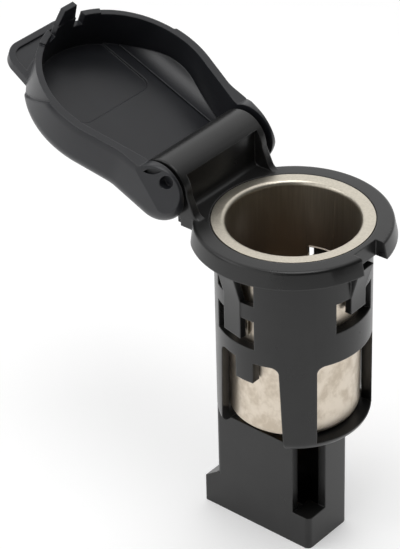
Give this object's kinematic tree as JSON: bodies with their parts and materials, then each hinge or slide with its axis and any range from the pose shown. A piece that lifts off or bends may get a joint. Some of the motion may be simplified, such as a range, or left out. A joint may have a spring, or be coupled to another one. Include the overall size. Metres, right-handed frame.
{
  "type": "car 12v power socket",
  "caption": "Round panel-mounted car power socket: a metal barrel in a black clip-in plastic cage with a connector shroud below and a hinged snap lid on top.",
  "frame": {"origin": "on the barrel axis at the underside of the housing flange, where the socket sits on its panel", "axes": "+Z along the barrel out of the panel, +Y from the barrel axis towards the lid hinge, +X completes the right hand"},
  "size_m": [0.033, 0.0723, 0.0852],
  "materials": {
    "housing_plastic": "satin black moulded nylon",
    "lid_plastic": "matte charcoal moulded plastic",
    "plated_steel": "satin nickel plate, slightly mottled",
    "insulator": "plain heat-resistant moulding",
    "contact_metal": "plain stamped brass"
  },
  "bodies": {
    "housing": {"housing": "housing_plastic", "socket_barrel": "plated_steel", "contact_insulator": "insulator", "centre_contact": "contact_metal", "insulating_washer": "insulator", "positive_terminal": "contact_metal", "ground_terminal": "contact_metal"},
    "lid": {"lid": "lid_plastic"}
  },
  "joints": [
    {"name": "lid_hinge", "type": "hinge", "parent": "housing", "child": "lid", "pos_m": [0, 0.01855, 0.00675], "axis": [1, 0, 0], "range_deg": [0, 157.3]}
  ]
}
